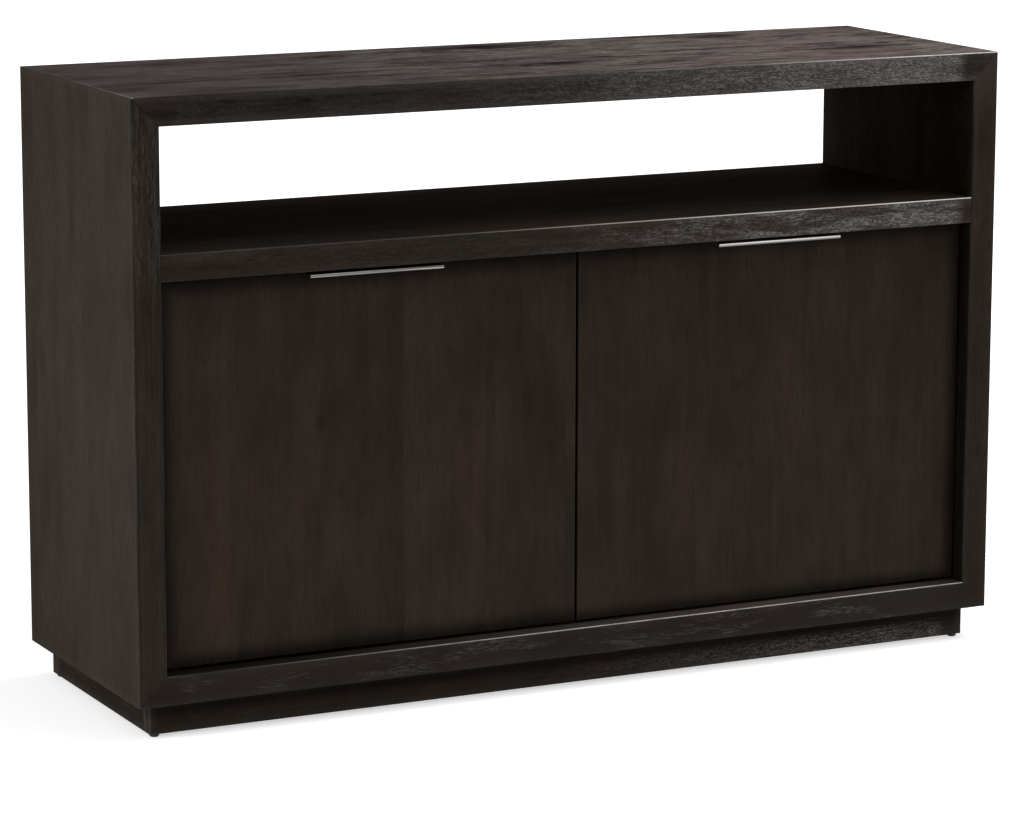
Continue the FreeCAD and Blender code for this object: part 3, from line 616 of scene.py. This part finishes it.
def mouldedFinish(name, look):
    material = bpy.data.materials.new(name)
    paint = Paint(material)
    spot = paint.add("ShaderNodeTexCoord", out="Object")
    cloud = paint.noise("moulding", spot)
    grit = paint.noise("grit", spot)
    mixed = cloud * (1 - look["gritShare"]) + grit * look["gritShare"]
    colour = paint.blend(paint.between(mixed, *look["tones"]), look["colour"], look["pale"])
    rough = look["rough"] + (grit - 0.5) * look["gritRough"]
    paint.show(paint.surface({
        "Base Color": colour, "Roughness": rough, "Specular IOR Level": look["gloss"],
        "Normal": paint.relief(grit, look["relief"], look["reliefDepth"])}))
    return material


sides = ("left", "right")
leaves = [f"{side}_{leaf}" for side in sides
          for leaf in ("lower_pivot_plate", "lower_pivot_bush", "upper_pivot_plate", "upper_pivot_bush")]
zinc = platedFinish("zincSteel", zincSteel)
bronze = platedFinish("darkBronze", darkBronze)
rubber = mouldedFinish("bumperRubber", bumperRubber)
dress(leaves, bronze)
dress([side + "_strike_plate" for side in sides], zinc)
dress([side + "_catch_housing" for side in sides], mouldedFinish("catchPlastic", catchPlastic))
dress([side + "_catch_magnet" for side in sides], mouldedFinish("magnetFerrite", magnetFerrite))
dress(["floor_glides"], mouldedFinish("glidePlastic", glidePlastic))
dress(["pivot_washers"], mouldedFinish("washerNylon", washerNylon))
print("hardware finished")


# Small fittings: each is modelled once at the origin, and its copies go where the CAD solids are
bodyOf = {node: body for body, held in frame["record"]["behaviour"]["bodies"].items() for node in held}
upright = Vector((0, 0, 1))
facing = 0.9
smoothAngle = math.radians(40)
mergeDistance = 0.00001
endSlack = 0.0001


def pick(piece, wanted, kind="FACE"):
    # goes into edit mode with only the wanted faces or edges selected
    bpy.context.view_layer.objects.active = piece
    bpy.ops.object.mode_set(mode="EDIT")
    bpy.ops.mesh.select_mode(type=kind)
    bpy.ops.mesh.select_all(action="DESELECT")
    bpy.ops.object.mode_set(mode="OBJECT")
    for part in piece.data.polygons if kind == "FACE" else piece.data.edges:
        part.select = wanted(part)
    bpy.ops.object.mode_set(mode="EDIT")


def newRod(sides, radius, low, high):
    bpy.ops.object.select_all(action="DESELECT")
    bpy.ops.mesh.primitive_cylinder_add(vertices=sides, radius=radius, depth=high - low,
                                        location=(0, 0, (low + high) / 2))
    bpy.ops.object.transform_apply(location=True)
    return bpy.context.object


def solidsOf(node):
    # the points of each separate solid in a CAD node, read from a merged copy
    twin = nodes[node].copy()
    twin.data = twin.data.copy()
    bpy.context.scene.collection.objects.link(twin)
    bpy.ops.object.select_all(action="DESELECT")
    twin.select_set(True)
    bpy.context.view_layer.objects.active = twin
    bpy.ops.object.mode_set(mode="EDIT")
    bpy.ops.mesh.select_all(action="SELECT")
    bpy.ops.mesh.remove_doubles(threshold=mergeDistance)
    bpy.ops.mesh.separate(type="LOOSE")
    bpy.ops.object.mode_set(mode="OBJECT")
    parts = list(bpy.context.selected_objects)
    solids = [[vertex.co.copy() for vertex in part.data.vertices] for part in parts]
    for part in parts:
        bpy.data.objects.remove(part)
    return solids


def corners(points):
    return (Vector(min(point[i] for point in points) for i in range(3)),
            Vector(max(point[i] for point in points) for i in range(3)))


def setCopies(master, node, spots, material):
    # one copy at each spot, turned and sized, joined as one piece that stands for the node
    bpy.ops.object.select_all(action="DESELECT")
    for place, turn, grow in spots:
        twin = master.copy()
        twin.data = master.data.copy()
        bpy.context.scene.collection.objects.link(twin)
        twin.location = place
        twin.rotation_euler = turn
        twin.scale = (grow, grow, grow)
        twin.select_set(True)
    bpy.context.view_layer.objects.active = twin
    bpy.ops.object.transform_apply(location=True, rotation=True, scale=True)
    if len(spots) > 1:
        bpy.ops.object.join()
    piece = bpy.context.object
    piece.name = node + "_finished"
    piece.data.materials.clear()
    piece.data.materials.append(material)
    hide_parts(node)
    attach(piece, bodyOf[node])


# Domed screw with a cross recess
crossScrew = {"sides": 28, "radius": 0.0034, "proud": 0.0008, "dome": 0.0006, "domeSteps": 4, "shank": 0.0014,
              "length": 0.014, "point": 0.25, "slot": 0.0008, "reach": 0.0038, "sink": 0.0006,
              "cadRadius": 0.003}


def modelScrew(size):
    screw = newRod(size["sides"], size["radius"], 0, size["proud"])
    pick(screw, lambda face: face.normal.z > facing)
    bpy.ops.mesh.bevel(offset=size["dome"], segments=size["domeSteps"], affect="EDGES")
    bpy.ops.object.mode_set(mode="OBJECT")
    pick(screw, lambda face: face.normal.z < -facing)
    bpy.ops.mesh.inset(thickness=size["radius"] - size["shank"])
    bpy.ops.mesh.extrude_region_move(TRANSFORM_OT_translate={"value": (0, 0, -size["length"])})
    bpy.ops.transform.resize(value=(size["point"], size["point"], 1))
    bpy.ops.object.mode_set(mode="OBJECT")
    for turn in (0, math.pi / 2):
        bpy.ops.mesh.primitive_cube_add(size=1, location=(0, 0, size["proud"]), rotation=(0, 0, turn),
                                        scale=(size["reach"], size["slot"], size["sink"] * 2))
        cutter = bpy.context.object
        bpy.context.view_layer.objects.active = screw
        recess = screw.modifiers.new("recess", "BOOLEAN")
        recess.object = cutter
        bpy.ops.object.modifier_apply(modifier=recess.name)
        bpy.data.objects.remove(cutter)
    bpy.ops.object.select_all(action="DESELECT")
    screw.select_set(True)
    bpy.ops.object.shade_smooth_by_angle(angle=smoothAngle)
    return screw


def screwSpots(node):
    # a screw's head is at the wider end of its long axis
    spots = []
    for points in solidsOf(node):
        low, high = corners(points)
        middle = (low + high) / 2
        axis = max(range(3), key=lambda i: high[i] - low[i])
        spread = {}
        for end in (low[axis], high[axis]):
            rim = [point - middle for point in points if abs(point[axis] - end) < endSlack]
            for arm in rim:
                arm[axis] = 0
            spread[end] = max(arm.length for arm in rim)
        head = max(spread, key=spread.get)
        way = Vector((0, 0, 0))
        way[axis] = head - middle[axis]
        middle[axis] = head
        turn = upright.rotation_difference(way).to_euler()
        spots.append((middle, turn, spread[head] / crossScrew["cadRadius"]))
    return spots


screw = modelScrew(crossScrew)
for node in [name for name in nodes if "screw" in name]:
    plated = bronze if node.startswith("pivot") or "bush" in node else zinc
    setCopies(screw, node, screwSpots(node), plated)
bpy.data.objects.remove(screw)

# Shelf peg: a round pin in the wall and a tongue with a rounded end
shelfPeg = {"sides": 24, "pin": 0.0025, "depth": 0.009, "length": 0.011, "width": 0.010, "thickness": 0.003,
            "farEnd": 0.0099, "endRound": 0.0042, "roundSteps": 7, "ease": 0.0004, "easeSteps": 2}


def modelPeg(size):
    pin = newRod(size["sides"], size["pin"], -size["depth"], 0)
    pin.rotation_euler.y = math.pi / 2
    bpy.ops.object.transform_apply(rotation=True)
    bpy.ops.object.select_all(action="DESELECT")
    middle = (size["length"] / 2, 0, size["pin"] - size["thickness"] / 2)
    bpy.ops.mesh.primitive_cube_add(size=1, location=middle,
                                    scale=(size["length"], size["width"], size["thickness"]))
    tongue = bpy.context.object
    bpy.ops.object.transform_apply(location=True, scale=True)
    points = tongue.data.vertices
    pick(tongue, lambda edge: all(points[i].co.x > size["farEnd"] for i in edge.vertices)
         and abs(points[edge.vertices[0]].co.y - points[edge.vertices[1]].co.y) < size["ease"], "EDGE")
    bpy.ops.mesh.bevel(offset=size["endRound"], segments=size["roundSteps"], affect="EDGES")
    bpy.ops.object.mode_set(mode="OBJECT")
    pin.select_set(True)
    tongue.select_set(True)
    bpy.ops.object.join()
    ease = tongue.modifiers.new("ease", "BEVEL")
    ease.width = size["ease"]
    ease.segments = size["easeSteps"]
    ease.limit_method = "ANGLE"
    bpy.ops.object.modifier_apply(modifier=ease.name)
    bpy.ops.object.shade_smooth_by_angle(angle=smoothAngle)
    return tongue


def pegSpots(node):
    # the tongue is the wide end, and the wall is a pin's depth from the other end
    spots = []
    for points in solidsOf(node):
        low, high = corners(points)
        middle = (low + high) / 2
        wide = max(points, key=lambda point: abs(point.y - middle.y))
        inward = wide.x > middle.x
        wall = low.x + shelfPeg["depth"] if inward else high.x - shelfPeg["depth"]
        place = Vector((wall, middle.y, high.z - shelfPeg["pin"]))
        spots.append((place, (0, 0, 0 if inward else math.pi), 1))
    return spots


peg = modelPeg(shelfPeg)
for side in sides:
    setCopies(peg, side + "_shelf_pegs", pegSpots(side + "_shelf_pegs"), zinc)
bpy.data.objects.remove(peg)

# Soft door bumper with a domed face
doorBumper = {"sides": 32, "radius": 0.004, "height": 0.0025, "dome": 0.0018, "domeSteps": 6}


def modelBumper(size):
    bumper = newRod(size["sides"], size["radius"], 0, size["height"])
    pick(bumper, lambda face: face.normal.z > facing)
    bpy.ops.mesh.bevel(offset=size["dome"], segments=size["domeSteps"], affect="EDGES")
    bpy.ops.object.mode_set(mode="OBJECT")
    bpy.ops.object.shade_smooth_by_angle(angle=smoothAngle)
    return bumper


bumper = modelBumper(doorBumper)
backward = upright.rotation_difference(Vector((0, 1, 0))).to_euler()
for side in sides:
    spots = []
    for points in solidsOf(side + "_door_bumpers"):
        low, high = corners(points)
        middle = (low + high) / 2
        spots.append((Vector((middle.x, low.y, middle.z)), backward, 1))
    setCopies(bumper, side + "_door_bumpers", spots, rubber)
bpy.data.objects.remove(bumper)
print("fittings modelled")

# Camera at the photograph's angle
camera = {"place": (-2.663, -5.335, 1.533), "turn": (78.96, -0.11, -26.43), "lens": 144.6, "sensor": 36,
          "farthest": 200}
eye = bpy.data.objects.new("camera", bpy.data.cameras.new("camera"))
bpy.context.scene.collection.objects.link(eye)
eye.location = camera["place"]
eye.rotation_euler = [math.radians(angle) for angle in camera["turn"]]
eye.data.lens = camera["lens"]
eye.data.sensor_width = camera["sensor"]
eye.data.clip_end = camera["farthest"]
bpy.context.scene.camera = eye

# Pale floor: white to the camera and to mirrors, with the shadow kept near the object
white = (1, 1, 1, 1)
floor = {"size": 120.0, "colour": (0.68, 0.68, 0.68, 1), "near": 0.58, "shadowReach": (1.3, 3.2)}
bpy.ops.object.select_all(action="DESELECT")
bpy.ops.mesh.primitive_plane_add(size=floor["size"])
ground = bpy.context.object
ground.name = "floor"
material = bpy.data.materials.new("paleFloor")
ground.data.materials.append(material)
paint = Paint(material)
spot = paint.add("ShaderNodeTexCoord", out="Object")
far = paint.add("ShaderNodeVectorMath", {"operation": "LENGTH"}, {0: spot}, out="Value")
glow = paint.between(far, *floor["shadowReach"], floor["near"], 1.0)
matt = paint.add("ShaderNodeBsdfDiffuse", None, {"Color": floor["colour"]})
bright = paint.add("ShaderNodeEmission", None, {"Color": white, "Strength": paint.seen() * glow})
paint.show(paint.add("ShaderNodeAddShader", None, {0: matt, 1: bright}))

# White backdrop; the light from it is stronger in front than behind
backdrop = {"front": 0.82, "behind": 0.28, "spread": 0.5}
world = bpy.data.worlds.new("studio")
bpy.context.scene.world = world
paint = Paint(world)
seen = paint.seen()
way = paint.add("ShaderNodeSeparateXYZ", None, {0: paint.add("ShaderNodeTexCoord", out="Generated")}, out="Y")
soft = paint.between(way, -backdrop["spread"], backdrop["spread"], backdrop["front"], backdrop["behind"])
sky = paint.add("ShaderNodeBackground", None, {"Color": white, "Strength": seen + (1 - seen) * soft})
paint.add("ShaderNodeOutputWorld", None, {"Surface": sky})

# Soft boxes
lamps = {
    "overhead": {"place": (1.4, -0.4, 3.3), "aim": (0.1, 0, 0.8), "size": (3.0, 2.2), "watts": 90},
    "leftSide": {"place": (-4.2, 0.2, 1.9), "aim": (0, 0, 0.5), "size": (1.8, 2.2), "watts": 70},
}
for name, lamp in lamps.items():
    light = bpy.data.lights.new(name, "AREA")
    light.shape = "RECTANGLE"
    light.size, light.size_y = lamp["size"]
    light.energy = lamp["watts"]
    box = bpy.data.objects.new(name, light)
    bpy.context.scene.collection.objects.link(box)
    box.location = lamp["place"]
    aim = Vector(lamp["aim"]) - Vector(lamp["place"])
    box.rotation_euler = aim.to_track_quat("-Z", "Y").to_euler()
bpy.context.scene.view_settings.view_transform = "Standard"
print("stage lit")
